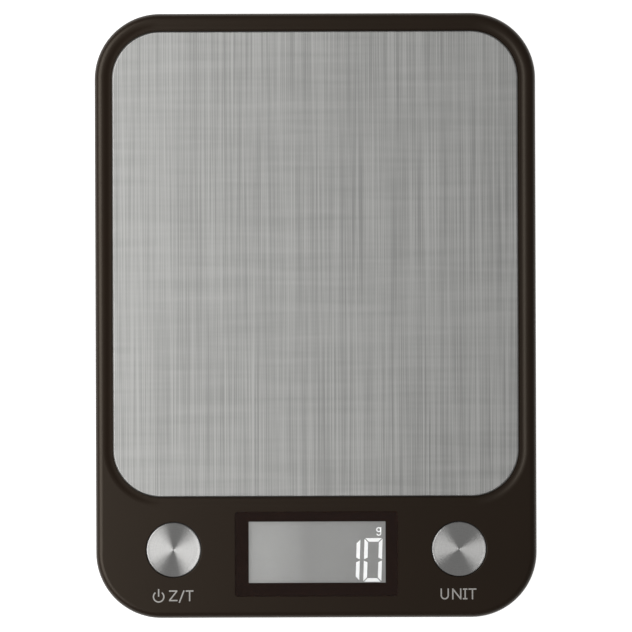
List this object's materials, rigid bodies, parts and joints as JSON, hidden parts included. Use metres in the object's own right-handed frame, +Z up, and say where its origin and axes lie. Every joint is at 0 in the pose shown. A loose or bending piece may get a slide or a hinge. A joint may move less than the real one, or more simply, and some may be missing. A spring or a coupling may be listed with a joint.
{
  "type": "digital kitchen scale",
  "caption": "Flat battery-powered kitchen scale: brushed steel plate in a rounded black body, display window and round keys on a front console, load-sensing feet.",
  "frame": {"origin": "on the surface that the scale stands on, under the middle of the body", "axes": "+Z up, +Y from the console towards the back, +X to the user's right"},
  "size_m": [0.175, 0.24, 0.019],
  "materials": {
    "black_abs": "fine spark-eroded satin, warm black",
    "brushed_steel": "long brushed grain from front to back",
    "spun_aluminium": "concentric spun grain",
    "window": "clear acrylic with a black printed border",
    "lcd": "grey backlit display with white segments",
    "diffuser": "white light guide",
    "silicone": "striped conductive rubber",
    "natural_abs": "natural white moulding",
    "board": "green solder mask",
    "resin": "black epoxy",
    "gauge_film": "amber film with a foil grid",
    "sensor_steel": "nickel-plated spring steel",
    "contact_plating": "nickel-plated strip and wire",
    "screw_plating": "zinc-plated",
    "cell_wrap": "plain printed film sleeve, no lettering",
    "foot_rubber": "matt black anti-slip rubber",
    "foam_tape": "black double-sided foam tape",
    "lead_red": "PVC insulation",
    "lead_black": "PVC insulation",
    "lead_white": "PVC insulation"
  },
  "bodies": {
    "casing": {"top_cover": "black_abs", "bottom_cover": "black_abs", "platform_plate": "brushed_steel", "platform_tape": "foam_tape", "display_lens": "window", "lens_tape": "foam_tape", "lcd_panel": "lcd", "lcd_backlight": "diffuser", "lcd_connector": "silicone", "lcd_holder": "natural_abs", "main_board": "board", "controller_chip": "resin", "board_components": "resin", "strain_gauges": "gauge_film", "contact_bridge": "contact_plating", "contact_positive": "contact_plating", "contact_negative": "contact_plating", "contact_spring_front": "contact_plating", "contact_spring_rear": "contact_plating", "case_screws": "screw_plating", "board_screws": "screw_plating", "sensor_screws": "screw_plating", "battery_lead_positive": "lead_red", "battery_lead_negative": "lead_black", "battery_cell_front": "cell_wrap", "battery_cell_rear": "cell_wrap", "switch_housing_zero": "resin", "switch_housing_unit": "resin", "load_sensor_front_left": "sensor_steel", "load_sensor_front_right": "sensor_steel", "load_sensor_rear_left": "sensor_steel", "load_sensor_rear_right": "sensor_steel", "sensor_lead_front_left": "lead_white", "sensor_lead_front_right": "lead_white", "sensor_lead_rear_left": "lead_white", "sensor_lead_rear_right": "lead_white"},
    "door": {"battery_door": "black_abs"},
    "key_zero": {"button_cap_zero": "spun_aluminium", "button_plunger_zero": "black_abs", "switch_stem_zero": "resin"},
    "key_unit": {"button_cap_unit": "spun_aluminium", "button_plunger_unit": "black_abs", "switch_stem_unit": "resin"},
    "foot_front_left": {"foot_cap_front_left": "black_abs", "foot_pad_front_left": "foot_rubber"},
    "foot_front_right": {"foot_cap_front_right": "black_abs", "foot_pad_front_right": "foot_rubber"},
    "foot_rear_left": {"foot_cap_rear_left": "black_abs", "foot_pad_rear_left": "foot_rubber"},
    "foot_rear_right": {"foot_cap_rear_right": "black_abs", "foot_pad_rear_right": "foot_rubber"}
  },
  "joints": [
    {"name": "key_zero_press", "type": "slide", "parent": "casing", "child": "key_zero", "axis": [0, 0, -1], "range_m": [0, 0.0004], "stiffness_N_per_m": 4500},
    {"name": "key_unit_press", "type": "slide", "parent": "casing", "child": "key_unit", "axis": [0, 0, -1], "range_m": [0, 0.0004], "stiffness_N_per_m": 4500},
    {"name": "foot_front_left_press", "type": "slide", "parent": "casing", "child": "foot_front_left", "axis": [0, 0, 1], "range_m": [0, 0.0003], "stiffness_N_per_m": 61000, "deforming": ["load_sensor_front_left"]},
    {"name": "foot_front_right_press", "type": "slide", "parent": "casing", "child": "foot_front_right", "axis": [0, 0, 1], "range_m": [0, 0.0003], "stiffness_N_per_m": 61000, "deforming": ["load_sensor_front_right"]},
    {"name": "foot_rear_left_press", "type": "slide", "parent": "casing", "child": "foot_rear_left", "axis": [0, 0, 1], "range_m": [0, 0.0003], "stiffness_N_per_m": 61000, "deforming": ["load_sensor_rear_left"]},
    {"name": "foot_rear_right_press", "type": "slide", "parent": "casing", "child": "foot_rear_right", "axis": [0, 0, 1], "range_m": [0, 0.0003], "stiffness_N_per_m": 61000, "deforming": ["load_sensor_rear_right"]},
    {"name": "battery_door_swing", "type": "hinge", "parent": "casing", "child": "door", "pos_m": [0, 0.0329, 0.0025], "axis": [1, 0, 0], "range_deg": [0, 60]}
  ]
}
